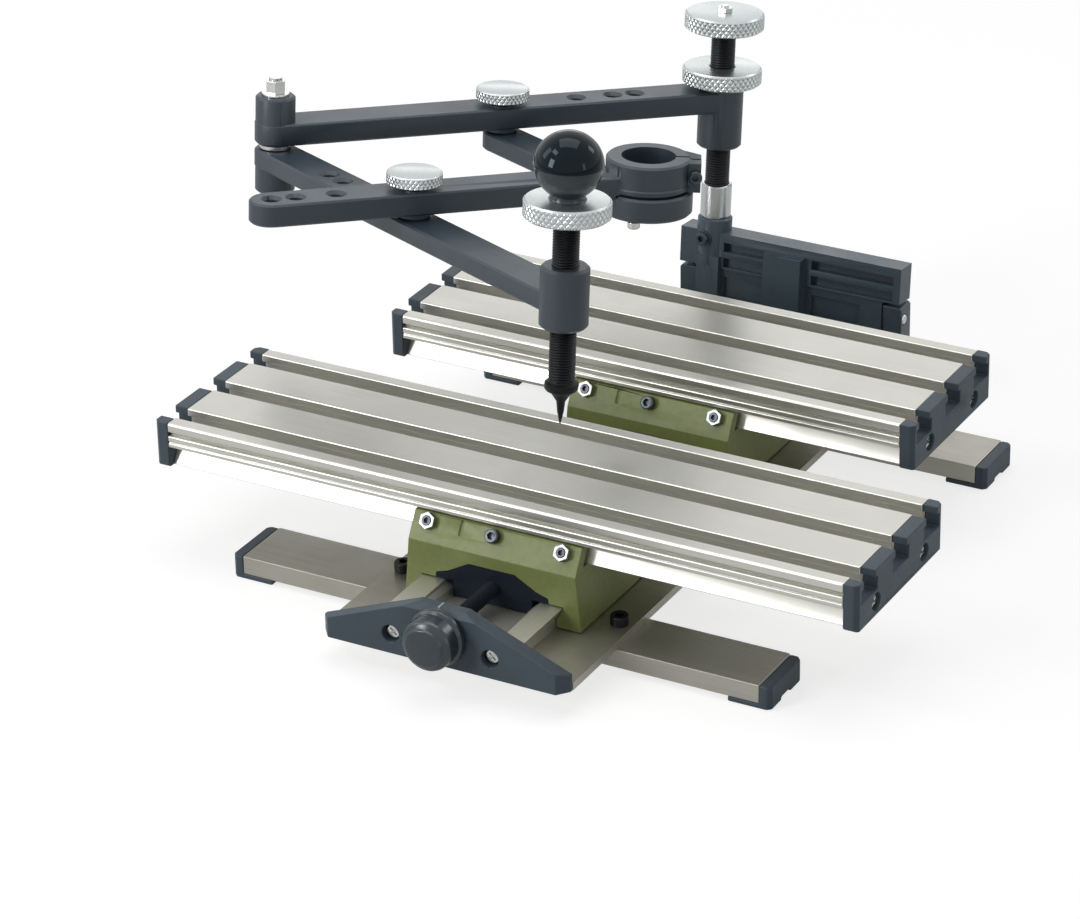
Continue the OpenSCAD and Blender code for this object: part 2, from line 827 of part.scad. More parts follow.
module cap_screw_set(x, y, length) {
    for (side = [0, 1], dy = [-cap_screw_y, cap_screw_y])
        translate([x, y + dy, table_top - cap_screw_drop])
            mirror([side, 0, 0])
                translate([length / 2 + cap_thickness - 3.2 + eps, 0, 0])
                    rotate([0, 90, 0])
                        difference() {
                            union() {
                                turned(head_d, 0, 2, 0.5);
                                translate([0, 0, -10])
                                    cylinder(d = cap_screw_d, h = 10 + eps);
                            }
                            for (turn = [45, 135])
                                rotate([0, 0, turn])
                                    translate([-1.7, -0.35, 1])
                                        cube([3.4, 0.7, 2]);
                        }
}

module front_table() {
    color([0.72, 0.7, 0.65])
        table_at(front_table_x, front_table_y, front_table_length);
}

module front_table_caps() {
    color([0.22, 0.25, 0.27])
        cap_pair(front_table_x, front_table_y, front_table_length);
}

module front_cap_screws() {
    color([0.78, 0.78, 0.76])
        cap_screw_set(front_table_x, front_table_y, front_table_length);
}

module rear_table() {
    color([0.72, 0.7, 0.65])
        table_at(rear_table_x, rear_table_y, rear_table_length);
}

module rear_table_caps() {
    color([0.22, 0.25, 0.27])
        cap_pair(rear_table_x, rear_table_y, rear_table_length);
}

module rear_cap_screws() {
    color([0.78, 0.78, 0.76])
        cap_screw_set(rear_table_x, rear_table_y, rear_table_length);
}

// Carries its children to the hinge pin with the lean, X along the pin and Z along the column
module leaning() {
    translate([0, hinge_y, hinge_z])
        rotate([-lean, 0, 0])
            children();
}

// Carries its children to a point of the pantograph, measured from the column
module at(point) {
    leaning()
        translate([column_x + point[0], point[1], 0])
            children();
}

// Tilting bracket
module bracket_leaf() {
    wide = bracket_half - 0.5;
    narrow = bracket_half - ear_width - air;
    half_t = leaf_thickness / 2;
    shoulder = ear_top - hinge_z + 1.6;
    color([0.2, 0.23, 0.26])
        leaning()
            difference() {
                union() {
                    translate([-wide, -half_t, shoulder])
                        cube([2 * wide, leaf_thickness, leaf_top - shoulder]);
                    translate([-narrow, -half_t + 1.2, -leaf_below])
                        cube([2 * narrow, leaf_thickness - 2.4, leaf_below + shoulder + eps]);
                    translate([column_x, 0, 0])
                        turned(leaf_boss_d, shoulder + 0.4, leaf_boss_top, 0.8);
                    translate([0.2 - narrow, -half_t - 1.7, 1 - leaf_below])
                        cube([narrow + column_x + 5.2, 3, leaf_below + shoulder + 4]);
                    translate([-10.2, -half_t - 2.2, -leaf_below + 1])
                        cube([17, 4, leaf_below + leaf_top - 4]);
                    translate([-3.8, -half_t - 4, -leaf_below + 1])
                        cube([10.2, 4, leaf_below + leaf_top - 4.6]);
                    translate([column_x - clamp_offset, -half_t - 2.6, leaf_top - clamp_drop])
                        rotate([-90, 0, 0])
                            cylinder(d = 6.6, h = 4);
                }
                for (x = [-28.6, 9.4])
                    translate([x, -half_t - 1, leaf_top - 7.4])
                        cube([x < 0 ? 18.2 : 35, 4.4, 3.8]);
                for (x = [-28.6, 9.4])
                    translate([x, -half_t - 1, leaf_top - 13.8])
                        cube([x < 0 ? 18.2 : 35, 3.8, 4]);
                translate([-28.6, -half_t, -5])
                    cube([17, 2.6, 8.6]);
                translate([9.4, -half_t, -5])
                    cube([21, 2.6, 8.6]);
                translate([column_x - clamp_offset, -half_t - 3, leaf_top - clamp_drop])
                    rotate([-90, 0, 0])
                        cylinder(d = 3.1, h = 5);
                translate([column_x, 0, leaf_boss_top - 12])
                    cylinder(d = column_d + 2 * running_gap, h = 20);
                rotate([0, 90, 0])
                    cylinder(d = hinge_pin_d + 2 * running_gap, h = 120, center = true);
            }
}

module boss_clamp_screw() {
    color([0.16, 0.17, 0.18])
        leaning()
            translate([column_x - clamp_offset, -leaf_thickness / 2 - 2.6, leaf_top - clamp_drop])
                rotate([90, 0, 0])
                    cap_screw(3, 5.2, 1.6, 2.65);
}

module column_sleeve() {
    color([0.82, 0.82, 0.79])
        at([0, 0])
            difference() {
                turned(sleeve_d, leaf_boss_top + 0.02, leaf_boss_top + sleeve_length, 0.4);
                cylinder(d = column_d + 2 * running_gap, h = 200);
            }
}

module column_rod() {
    color([0.12, 0.13, 0.14])
        at([0, 0])
            translate([0, 0, leaf_boss_top - 11.6])
                cylinder(d = column_d, h = column_top - 2 - leaf_boss_top + 11.6);
}

module column_disc() {
    color([0.78, 0.79, 0.79])
        at([0, 0])
            difference() {
                turned(disc_d, column_top - disc_height, column_top, 0.7);
                translate([0, 0, column_top - disc_height - 1])
                    cylinder(d = column_d + 0.02, h = disc_height - 1 + eps);
            }
}

module column_nut() {
    color([0.85, 0.85, 0.84])
        at([0, 0]) {
            hexagon(5.4, column_top + 0.01, 1.8);
            translate([0, 0, column_top + 1])
                cylinder(d = 3, h = 1.6);
        }
}

module lock_disc() {
    color([0.78, 0.79, 0.79])
        at([0, 0])
            difference() {
                turned(disc_d, lock_top - disc_height + 0.15, lock_top, 0.7);
                cylinder(d = column_d + 2 * running_gap, h = 200);
            }
}

// Arms
module bar_between(from, to, face, width, t) {
    span = to - from;
    length = norm(span);
    c = arm_chamfer;
    w = width / 2;
    translate([from[0], from[1], face - t])
        rotate([0, 0, atan2(span[1], span[0])])
            along_x(0, length)
                polygon([[-w + c, 0], [w - c, 0], [w, c], [w, t - c],
                         [w - c, t], [-w + c, t], [-w, t - c], [-w, c]]);
}

// Rounds the end of a bar, a hair thinner than the bar
module round_end(point, face, width, t) {
    translate([point[0], point[1], 0])
        turned(width - 0.04, face - t + 0.02, face - 0.02, arm_chamfer);
}

module drilled(point, d) {
    translate([point[0], point[1], 0])
        cylinder(d = d, h = 200);
}

module arm_a() {
    color([0.19, 0.22, 0.25])
        at([0, 0])
            difference() {
                union() {
                    turned(end_boss_d, arm_boss_bottom, boss_top, 0.8);
                    translate([elbow[0], elbow[1], 0])
                        turned(elbow_boss_d, elbow_split, elbow_top, 0.8);
                    bar_between([0, 0], elbow, upper_face, arm_width, upper_thickness);
                    round_end(elbow, upper_face, arm_width, upper_thickness);
                }
                cylinder(d = column_d + 2 * running_gap, h = 200);
                drilled(elbow, elbow_stud_d + 2 * running_gap);
                drilled(pivot_a, pivot_d + 2 * running_gap);
                for (n = spares)
                    drilled(elbow / n, spare_hole_d);
            }
}

module arm_b() {
    color([0.19, 0.22, 0.25])
        at([0, 0])
            difference() {
                union() {
                    translate([elbow[0], elbow[1], 0])
                        turned(elbow_boss_d, elbow_bottom, lower_face - 1, 0.8);
                    translate([stylus[0], stylus[1], 0])
                        turned(end_boss_d, stylus_boss_top - stylus_boss_length, stylus_boss_top, 1);
                    bar_between(elbow, stylus, lower_face, arm_width, lower_thickness);
                    round_end(elbow, lower_face, arm_width, lower_thickness);
                }
                drilled(elbow, elbow_stud_d + 2 * running_gap);
                drilled(stylus, stylus_d + 2 * running_gap);
                drilled(pivot_b, pivot_d + 2 * running_gap);
                for (n = spares)
                    drilled(elbow + (stylus - elbow) / n, spare_hole_d);
            }
}

module arm_c() {
    color([0.19, 0.22, 0.25])
        at([0, 0])
            difference() {
                union() {
                    bar_between(pivot_a, tool, lower_face, arm_width - 1.2, lower_thickness);
                    round_end(pivot_a, lower_face, arm_width - 1.2, lower_thickness);
                    translate([tool[0], tool[1], 0])
                        turned(lower_ring_d, collar_bottom, ring_split - air, 0.8);
                }
                drilled(tool, collar_bore);
                translate([tool[0], tool[1], collar_bottom - 40])
                    cylinder(d = lower_ring_d + 0.8, h = 40);
                drilled(pivot_a, pivot_d + 2 * running_gap);
                for (n = spares)
                    drilled(tool - (tool - pivot_a) * reduction / n, spare_hole_d);
            }
}

module arm_d() {
    back = (pivot_b - tool) / norm(pivot_b - tool);
    hole_at = function(n) tool + back * (arm_a_length * (1 - 1 / n) - spare_shift);
    tail = hole_at(5) + back * 0.3;
    reach = collar_d / 2 + 3.6;
    color([0.19, 0.22, 0.25])
        at([0, 0])
            difference() {
                union() {
                    bar_between(tail, tool, upper_face, arm_width, upper_thickness);
                    round_end(tail, upper_face, arm_width, upper_thickness);
                    translate([tool[0], tool[1], 0]) {
                        turned(collar_d, ring_split, collar_top, 0.8);
                        rotate([0, 0, lug_angle])
                            translate([0, 0, ring_split])
                                linear_extrude(height = collar_top - ring_split - 0.8)
                                    polygon([[0, -5.6], [reach, -5.6], [reach, 5.6],
                                             collar_d / 2 * [cos(54), sin(54)], [0, 0]]);
                    }
                }
                drilled(tool, collar_bore);
                translate([tool[0], tool[1], ring_split - 40])
                    cylinder(d = lower_ring_d + 0.8, h = 40);
                translate([tool[0], tool[1], 0])
                    rotate([0, 0, lug_angle]) {
                        translate([0, -slit_width / 2, 0])
                            cube([40, slit_width, 200]);
                        translate([collar_d / 2 + 1.6, 0, (ring_split + collar_top) / 2])
                            rotate([90, 0, 0])
                                cylinder(d = 3.2, h = 40, center = true);
                    }
                drilled(pivot_b, pivot_d + 2 * running_gap);
                for (n = spares)
                    drilled(hole_at(n), spare_hole_d);
            }
}

module elbow_stud() {
    color([0.8, 0.8, 0.79])
        at(elbow) {
            translate([0, 0, elbow_bottom - 2])
                cylinder(d = elbow_stud_d, h = elbow_top + 7 - elbow_bottom + 2);
            translate([0, 0, elbow_bottom - 2.4])
                cylinder(d = elbow_stud_d + 3.4, h = 2.2);
        }
}

module elbow_washers() {
    color([0.84, 0.84, 0.83])
        at(elbow)
            difference() {
                union() {
                    translate([0, 0, lower_face + air])
                        cylinder(d = elbow_boss_d - 3, h = elbow_split - lower_face - air - 0.02);
                    translate([0, 0, elbow_top + 0.02])
                        cylinder(d = elbow_boss_d - 4.6, h = 1);
                }
                cylinder(d = elbow_stud_d + 2 * running_gap, h = 200);
            }
}

module elbow_nut() {
    color([0.84, 0.84, 0.83])
        at(elbow)
            difference() {
                hexagon(6.8, elbow_top + 1.04, 4.8);
                cylinder(d = elbow_stud_d + 2 * running_gap, h = 200);
            }
}

module spacer(point) {
    at(point)
        difference() {
            translate([0, 0, lower_face + air])
                cylinder(d = 12, h = upper_bottom - lower_face - air - 0.02);
            cylinder(d = pivot_d + 2 * running_gap, h = 200);
        }
}

module link_spacer() {
    color([0.15, 0.17, 0.19])
        spacer(pivot_a);
}

module arm_spacer() {
    color([0.15, 0.17, 0.19])
        spacer(pivot_b);
}

module clamp_knob() {
    seat = upper_face + 0.04;
    under = upper_face + 6.2 - clamp_head_height;
    turned(9, seat, under + eps, 0.3);
    turned(clamp_head_d, under, upper_face + 6.2, 0.6);
    translate([0, 0, lower_face - lower_thickness + 0.4])
        cylinder(d = pivot_d, h = seat - lower_face + lower_thickness);
}

module clamp_knob_a() {
    color([0.8, 0.81, 0.81])
        at(pivot_a)
            clamp_knob();
}

module clamp_knob_b() {
    color([0.8, 0.81, 0.81])
        at(pivot_b)
            clamp_knob();
}

module collar_screw() {
    color([0.17, 0.18, 0.19])
        at(tool)
            rotate([0, 0, lug_angle])
                translate([collar_d / 2 + 1.6, -5.62, (ring_split + collar_top) / 2])
                    rotate([90, 0, 0])
                        cap_screw(3, 5, 1.6, 10);
}

module ring_screw() {
    ring_middle = (collar_bore + lower_ring_d) / 4;
    color([0.82, 0.82, 0.8])
        at(tool)
            rotate([0, 0, 277])
                translate([ring_middle, 0, collar_bottom - 0.02])
                    rotate([180, 0, 0])
                        turned(4.6, 0, 3, 0.5);
}

// Stylus
module stylus_rod() {
    flange_z = tip_height + flange_rise;
    color([0.12, 0.13, 0.14])
        at(stylus)
            rotate_extrude()
                polygon([[0, tip_height], [0.25, tip_height],
                         [1.2, tip_height + 4.6], [1.6, tip_height + 8.4],
                         [4.2, flange_z - 0.2], [5.4, flange_z], [6, flange_z + 0.8], [6, flange_z + 2.8],
                         [stylus_d / 2, flange_z + 3.4], [stylus_d / 2, stylus_disc_top - 2],
                         [0, stylus_disc_top - 2]]);
}

module stylus_disc() {
    color([0.78, 0.79, 0.79])
        at(stylus)
            difference() {
                turned(disc_d, stylus_disc_top - disc_height, stylus_disc_top, 0.7);
                translate([0, 0, stylus_disc_top - disc_height - 1])
                    cylinder(d = stylus_d + 2 * running_gap, h = disc_height - 1 + 0.1);
            }
}

module ball_grip() {
    centre = stylus_disc_top + ball_seat + ball_d / 2 - 1.6;
    color([0.05, 0.06, 0.07])
        at(stylus)
            difference() {
                union() {
                    translate([0, 0, centre])
                        sphere(d = ball_d, $fn = 96);
                    translate([0, 0, stylus_disc_top + 0.02])
                        cylinder(d = 13.6, h = ball_seat + 2);
                }
                translate([-20, -20, stylus_disc_top - 20 + 0.02])
                    cube([40, 40, 20]);
            }
}

base_plate();
cross_rails();
rail_caps();
guide_rail();
plate_screws();
front_bar();
bar_screws();
bracket_foot();
foot_screws();
hinge_pin();
feed_spindle();
hand_knob();
front_saddle();
front_feed_nut();
front_gib();
front_lip_nuts();
front_gib_screws();
front_lock_screw();
front_table();
front_table_caps();
front_cap_screws();
rear_saddle();
rear_gib();
rear_lip_nuts();
rear_gib_screws();
rear_lock_screw();
rear_table();
rear_table_caps();
rear_cap_screws();
bracket_leaf();
boss_clamp_screw();
column_sleeve();
column_rod();
column_disc();
column_nut();
lock_disc();
arm_a();
arm_b();
arm_c();
arm_d();
elbow_stud();
elbow_washers();
elbow_nut();
link_spacer();
arm_spacer();
clamp_knob_a();
clamp_knob_b();
collar_screw();
ring_screw();
stylus_rod();
stylus_disc();
ball_grip();
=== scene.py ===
import json
from math import cos, radians, sin

import bmesh
import bpy
import numpy as np
from mathutils import Matrix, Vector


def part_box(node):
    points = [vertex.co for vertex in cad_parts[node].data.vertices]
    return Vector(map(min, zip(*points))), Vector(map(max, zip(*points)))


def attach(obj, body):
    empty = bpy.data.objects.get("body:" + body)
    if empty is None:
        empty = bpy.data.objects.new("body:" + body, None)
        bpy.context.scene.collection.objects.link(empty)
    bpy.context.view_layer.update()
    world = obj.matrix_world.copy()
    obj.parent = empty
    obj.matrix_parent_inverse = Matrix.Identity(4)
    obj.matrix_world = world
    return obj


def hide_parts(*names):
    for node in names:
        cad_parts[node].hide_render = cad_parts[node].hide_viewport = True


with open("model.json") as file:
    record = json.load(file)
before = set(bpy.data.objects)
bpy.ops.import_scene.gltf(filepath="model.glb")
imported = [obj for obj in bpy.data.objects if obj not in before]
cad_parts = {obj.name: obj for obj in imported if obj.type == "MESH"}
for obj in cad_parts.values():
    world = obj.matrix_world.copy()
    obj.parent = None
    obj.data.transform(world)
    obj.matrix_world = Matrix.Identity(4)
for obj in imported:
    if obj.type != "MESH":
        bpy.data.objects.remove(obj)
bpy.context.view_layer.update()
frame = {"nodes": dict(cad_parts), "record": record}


# Camera
# The view of the photograph: from the front right and above, through a long lens.
# Its place and turn were solved from the straight edges of the two tables.
def standing(x_axis, y_axis, z_axis, origin):
    """The 4 by 4 matrix whose columns are three axes and an origin in metres."""
    return Matrix(np.vstack([np.column_stack([x_axis, y_axis, z_axis, origin]), (0, 0, 0, 1)]))


camera_place = (0.67083, -1.27214, 0.75503)
azimuth, elevation, roll = radians(28.087), radians(26.792), radians(-0.611)
backward = np.array([sin(azimuth) * cos(elevation), -cos(azimuth) * cos(elevation), sin(elevation)])
level_right = np.array([cos(azimuth), sin(azimuth), 0.0])
level_up = np.cross(backward, level_right)
rightward = cos(roll) * level_right + sin(roll) * level_up
upward = cos(roll) * level_up - sin(roll) * level_right
camera = bpy.data.objects.new("camera", bpy.data.cameras.new("camera"))
bpy.context.scene.collection.objects.link(camera)
camera.matrix_world = standing(rightward, upward, backward, camera_place)
camera.data.sensor_width = 36
camera.data.lens = 146.27
camera.data.shift_x = -0.06497
camera.data.shift_y = -0.00823
camera.data.clip_end = 50
bpy.context.scene.camera = camera


# Studio
# A white table in a white room, lit by a large soft lamp above and six smaller ones around: a strip at the
# front, one at the front left, one at the right, two behind and a reflector at the left.
# To the camera the room is plain white, and the table keeps the machine's soft shadow.
def linear(hex_colour):
    """sRGB hex to linear red, green, blue and alpha: below 0.04045 a channel is divided by 12.92,
    above it 0.055 is added, the sum is divided by 1.055 and raised to 2.4."""
    channels = [int(hex_colour[i:i + 2], 16) / 255 for i in (1, 3, 5)]
    return (*[c / 12.92 if c < 0.04045 else ((c + 0.055) / 1.055) ** 2.4 for c in channels], 1.0)


def add(tree, kind, inputs=None, **settings):
    """Adds a node to a tree, sets its fields, and gives each input a value or another node's output."""
    node = tree.nodes.new(kind)
    for field, value in settings.items():
        setattr(node, field, value)
    for socket, value in (inputs or {}).items():
        if isinstance(value, bpy.types.NodeSocket):
            tree.links.new(value, node.inputs[socket])
        else:
            node.inputs[socket].default_value = value
    return node


def seen(tree, mirrored):
    """1 for rays of the camera and of glass, the share mirrored for reflections, 0 for light on things."""
    path = add(tree, "ShaderNodeLightPath")
    glossy = add(tree, "ShaderNodeMath", {0: path.outputs["Is Glossy Ray"], 1: mirrored},
                 operation="MULTIPLY")
    shiny = add(tree, "ShaderNodeMath", {0: path.outputs["Is Camera Ray"], 1: glossy.outputs[0]},
                operation="MAXIMUM")
    return add(tree, "ShaderNodeMath", {0: shiny.outputs[0], 1: path.outputs["Is Transmission Ray"]},
               operation="MAXIMUM").outputs[0]


world = bpy.data.worlds.new("white_room")
world.use_nodes = True
walls = world.node_tree
walls.nodes.clear()
room_light = add(walls, "ShaderNodeBackground", {"Color": linear("#F4F6FA"), "Strength": 0.2})
room_seen = add(walls, "ShaderNodeBackground", {"Color": (1, 1, 1, 1), "Strength": 1.0})
room = add(walls, "ShaderNodeMixShader",
           {0: seen(walls, 1.0), 1: room_light.outputs[0], 2: room_seen.outputs[0]})
add(walls, "ShaderNodeOutputWorld", {"Surface": room.outputs[0]})
bpy.context.scene.world = world
bpy.context.scene.view_settings.view_transform = "Standard"

# White laminate: a matt white that lights the machine from below. To the camera it is mostly a glow of its
# own over a dimmer white, which keeps the shadow pale. Reflections take a little under half of it from that.
mirrored_share = 0.45
white_laminate = bpy.data.materials.new("white_laminate")
white_laminate.use_nodes = True
board = white_laminate.node_tree
board.nodes.clear()
laminate = add(board, "ShaderNodeBsdfDiffuse", {"Color": linear("#D8D8D6")})
glow = add(board, "ShaderNodeEmission", {"Color": (1, 1, 1, 1), "Strength": 0.74})
dimmed = add(board, "ShaderNodeBsdfDiffuse", {"Color": linear("#A2A2A1")})
bright = add(board, "ShaderNodeAddShader", {0: glow.outputs[0], 1: dimmed.outputs[0]})
shown_board = add(board, "ShaderNodeMixShader",
                  {0: seen(board, mirrored_share), 1: laminate.outputs[0], 2: bright.outputs[0]})
add(board, "ShaderNodeOutputMaterial", {"Surface": shown_board.outputs[0]})
reach = 4
bench = bpy.data.meshes.new("bench")
bench.from_pydata([(-reach, -reach, 0), (reach, -reach, 0), (reach, reach, 0), (-reach, reach, 0)], [],
                  [(0, 1, 2, 3)])
bench.materials.append(white_laminate)
bench_top = bpy.data.objects.new("bench", bench)
bpy.context.scene.collection.objects.link(bench_top)

# Each lamp has a name, a place and a size in metres, and a power in watts. It looks at the origin.
for name, place, size, power in (("softbox_above", (-0.1, 0.25, 1.8), (1.5, 1.1), 11.5),
                                 ("strip_front_above", (-0.67, -0.72, 1.26), (0.5, 0.28), 2.6),
                                 ("softbox_front_left", (-0.95, -1.5, 0.72), (0.5, 0.75), 12.0),
                                 ("softbox_right", (1.5, -0.35, 0.42), (0.22, 0.5), 0.8),
                                 ("softbox_back_right", (0.95, 1.15, 0.95), (0.4, 0.5), 2.2),
                                 ("softbox_back_left", (-0.95, 1.75, 0.4), (0.7, 0.35), 0.9),
                                 ("reflector_left", (-1.35, -0.5, 0.95), (0.45, 0.8), 3.0)):
    lamp = bpy.data.objects.new(name, bpy.data.lights.new(name, "AREA"))
    lamp.data.shape = "RECTANGLE"
    lamp.data.size, lamp.data.size_y = size
    lamp.data.energy = power
    aim = np.array(place) / np.linalg.norm(place)
    side = np.cross((0, 0, 1), aim)
    side /= np.linalg.norm(side)
    lamp.matrix_world = standing(side, np.cross(aim, side), aim, place)
    bpy.context.scene.collection.objects.link(lamp)


# Base plate, cross rails and longitudinal guide
# Extruded aluminium, anodised in a grey-brown, sawn to length and drilled.
# The rails lie across under the plate, and the dovetail guide is screwed along its middle.
body_of = {node: body for body, nodes in frame["record"]["behaviour"]["bodies"].items() for node in nodes}
same_point, flat_angle, corner_angle = 2e-6, radians(0.6), radians(28)


def keep(piece, mesh, node, material):
    """Puts a finished mesh in the scene for a CAD node: it takes the node's place and moves with its body."""
    mesh.materials.append(material)
    shown = bpy.data.objects.new(piece, mesh)
    bpy.context.scene.collection.objects.link(shown)
    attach(shown, body_of[node])
    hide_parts(node)
    return shown


def eased(node, radius, material, steps=2, cut=None, full=False, outer=False):
    """A node with its edges eased. Its triangles are joined at their shared points, and flat neighbours are
    made one face. cut, if given, works on the joined shape. Each edge that turns by more than the corner
    angle is then rounded to the radius in millimetres, and the faces beside it stay flat. full keeps the
    whole radius beside small features, and outer leaves the inner corners sharp."""
    shape = bmesh.new()
    shape.from_mesh(frame["nodes"][node].data)
    bmesh.ops.remove_doubles(shape, verts=shape.verts, dist=same_point)
    bmesh.ops.dissolve_limit(shape, angle_limit=flat_angle, verts=shape.verts, edges=shape.edges)
    if cut:
        cut(shape)
    weight = shape.edges.layers.float.new("bevel_weight_edge")
    for edge in shape.edges:
        turn = edge.calc_face_angle_signed(0.0)
        edge[weight] = float(turn > corner_angle or (turn < -corner_angle and not outer))
    for face in shape.faces:
        face.smooth = True
    mesh = bpy.data.meshes.new(node + "_eased")
    shape.to_mesh(mesh)
    shape.free()
    mesh.set_sharp_from_angle(angle=corner_angle)
    shown = keep(node + "_eased", mesh, node, material)
    rounding = shown.modifiers.new("rounding", "BEVEL")
    rounding.width = radius / 1000
    rounding.segments = steps
    rounding.limit_method = "WEIGHT"
    rounding.miter_outer = "MITER_ARC"
    rounding.harden_normals = True
    rounding.use_clamp_overlap = not full
    return shown


def finish_of(name, colour, shade, metallic, rough, grain, relief, level=0.5):
    """A surface with a grain: noise of the size grain (x, y, z in millimetres), times a wider noise for
    handling and wear, mixes a colour and its shade and moves the roughness between two values. The grain
    lifts the surface by relief millimetres, and level sets how strongly a surface without metal mirrors."""
    wear_spot, weakest, strongest = 20, 0.12, 0.4
    material = bpy.data.materials.new(name)
    material.use_nodes = True
    tree = material.node_tree
    tree.nodes.clear()
    at = add(tree, "ShaderNodeTexCoord").outputs["Object"]
    along = add(tree, "ShaderNodeMapping", {"Vector": at, "Scale": [1000 / g for g in grain]}).outputs[0]
    fine = add(tree, "ShaderNodeTexNoise", {"Vector": along, "Scale": 1.0, "Detail": 3.0}).outputs["Fac"]
    slow = add(tree, "ShaderNodeTexNoise",
               {"Vector": at, "Scale": 1000 / wear_spot, "Detail": 2.0}).outputs["Fac"]
    both = add(tree, "ShaderNodeMath", {0: fine, 1: slow}, operation="MULTIPLY").outputs[0]
    span = {"Value": both, "From Min": weakest, "From Max": strongest}
    amount = add(tree, "ShaderNodeMapRange", span).outputs[0]
    mixed = add(tree, "ShaderNodeMix", {"Factor": amount, 6: linear(colour), 7: linear(shade)},
                data_type="RGBA")
    matt = add(tree, "ShaderNodeMapRange", span | {"To Min": rough[0], "To Max": rough[1]}).outputs[0]
    lifted = add(tree, "ShaderNodeBump",
                 {"Height": fine, "Strength": 1.0, "Distance": relief / 1000}).outputs[0]
    shader = add(tree, "ShaderNodeBsdfPrincipled", {"Base Color": mixed.outputs[2], "Metallic": metallic,
                                                    "Roughness": matt, "Normal": lifted,
                                                    "Specular IOR Level": level})
    add(tree, "ShaderNodeOutputMaterial", {"Surface": shader.outputs[0]})
    return material


# Grey-brown anodised aluminium: a dull metal with faint drawn lines along X, 40 mm long and 0.5 mm wide.
base_aluminium = finish_of("anodised_aluminium_grey", "#B9B6AC", "#ABA89E", 0.9, (0.32, 0.42),
                           (40, 0.5, 0.5), 0.006)
eased("base_plate", 0.3, base_aluminium)
# The rails are a duller grade of the same, and their darker colour is painted shade from the tables above
# them.
# The guide is machined, lighter, with lines along Y 30 mm long.
rail_aluminium_painted_shade = finish_of("anodised_aluminium_rail_painted_shade", "#B0AEA5", "#A4A299", 0.85, (0.36, 0.46),
                           (40, 0.5, 0.5), 0.006)
guide_aluminium = finish_of("machined_aluminium_guide", "#D0CEC6", "#C2C0B8", 0.85, (0.32, 0.42),
                            (0.5, 30, 0.5), 0.006)
eased("cross_rails", 0.5, rail_aluminium_painted_shade, full=True)
eased("guide_rail", 0.3, guide_aluminium, full=True)


# Rail end caps
# Four caps of slate grey nylon, moulded and pushed into the open ends of the two cross rails.
# The machine stands on the small feet below them.
# Moulded nylon: satin, with a fine spark-eroded grain of 0.6 mm.
cap_nylon = finish_of("moulded_nylon_slate", "#47535C", "#3F4A52", 0.0, (0.42, 0.52), (0.6, 0.6, 0.6), 0.03,
                      level=0.28)
eased("rail_caps", 0.6, cap_nylon, full=True)


# Base plate screws
# Four socket screws, turned from steel and blackened, hold the plate on the rails.
# Their round heads stand on the plate.
# Blackened steel: dark, slightly oily, with a fine grain of 0.3 mm.
black_steel = finish_of("blackened_steel", "#24272A", "#16181A", 0.8, (0.34, 0.5), (0.3, 0.3, 0.3), 0.01)
eased("plate_screws", 0.12, black_steel)


# Front bar and its screws
# A bar of the caps' nylon carries the front end of the feed spindle, held by two cross-head screws.
# Its front face is smooth and bare, and a painted index line runs over its top.
eased("front_bar", 0.5, cap_nylon, 3, full=True)


def ribbon(name, path, x, width, height):
    """A flat strip along a path of (y, z) points, centred on x and measured in millimetres: each point gives
    four corners, half the width to both sides, at the path and the height above it. Both ends are closed."""
    path = np.array(path, float)
    corner = np.array([(-0.5, 0), (0.5, 0), (0.5, 1), (-0.5, 1)]) * (width, height) + (x, 0)
    across = np.broadcast_to(corner[:, 0], (len(path), 4))
    forward = np.repeat(path[:, :1], 4, axis=1)
    points = np.stack([across, forward, path[:, 1:] + corner[:, 1]], axis=-1).reshape(-1, 3)
    index = np.arange(len(path) * 4).reshape(-1, 4)
    start, end = index[:-1], index[1:]
    sides = np.stack([start, np.roll(start, -1, axis=1), np.roll(end, -1, axis=1), end], axis=-1)
    faces = sides.reshape(-1, 4).tolist() + [index[0][::-1].tolist(), index[-1].tolist()]
    mesh = bpy.data.meshes.new(name)
    mesh.from_pydata((points / 1000).tolist(), [], faces)
    return mesh


# Paint in the index line: warm white, matt, a little worn.
index_paint = finish_of("index_line_paint", "#B9BDB8", "#9EA39F", 0.0, (0.5, 0.7), (0.6, 0.6, 0.6), 0.01)
low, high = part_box("front_bar")
bar_front, bar_back, bar_top = low.y * 1000, high.y * 1000, high.z * 1000
line_x, line_width, paint_thickness = -0.9, 0.6, 0.06
# It starts low on the bar's sloping front edge and runs back over the top, with a third of its paint sunk in.
slope_start, slope_end, slope_drop, back_gap, sunk = 0.4, 2.05, 1.64, 0.6, 0.02
line_path = [(bar_front + slope_start, bar_top - slope_drop), (bar_front + slope_end, bar_top - sunk),
             (bar_back - back_gap, bar_top - sunk)]
keep("index_line", ribbon("index_line", line_path, line_x, line_width, paint_thickness), "front_bar",
     index_paint)
# Nickel-plated steel: bright and smooth, a grain of 0.4 mm barely shows.
nickel_steel = finish_of("nickel_plated_steel", "#D2D3D0", "#BFC1C0", 1.0, (0.14, 0.24), (0.4, 0.4, 0.4),
                         0.004)
eased("bar_screws", 0.12, nickel_steel)


# Bracket foot and its screws
# A casting with two ears, powder coated and screwed to the rear end of the base plate.
# A bright pin through both ears is the hinge of the tilting bracket.
# Blue-black powder coat: satin, with a fine orange-peel of 0.9 mm.
powder_coat = finish_of("powder_coat_blue_black", "#42515C", "#3A4853", 0.0, (0.34, 0.44), (0.9, 0.9, 0.9),
                        0.03)
eased("bracket_foot", 0.5, powder_coat, full=True)
eased("foot_screws", 0.12, black_steel)
eased("hinge_pin", 0.3, nickel_steel)


# Feed spindle
# A long blackened screw under the front saddle, turned by the knob at its front end.
# Its thread has a pitch of 1 mm, as the threads of the column and the stylus do.
thread_pitch, rod_sides, crease_angle = 1.0, 48, radians(38)


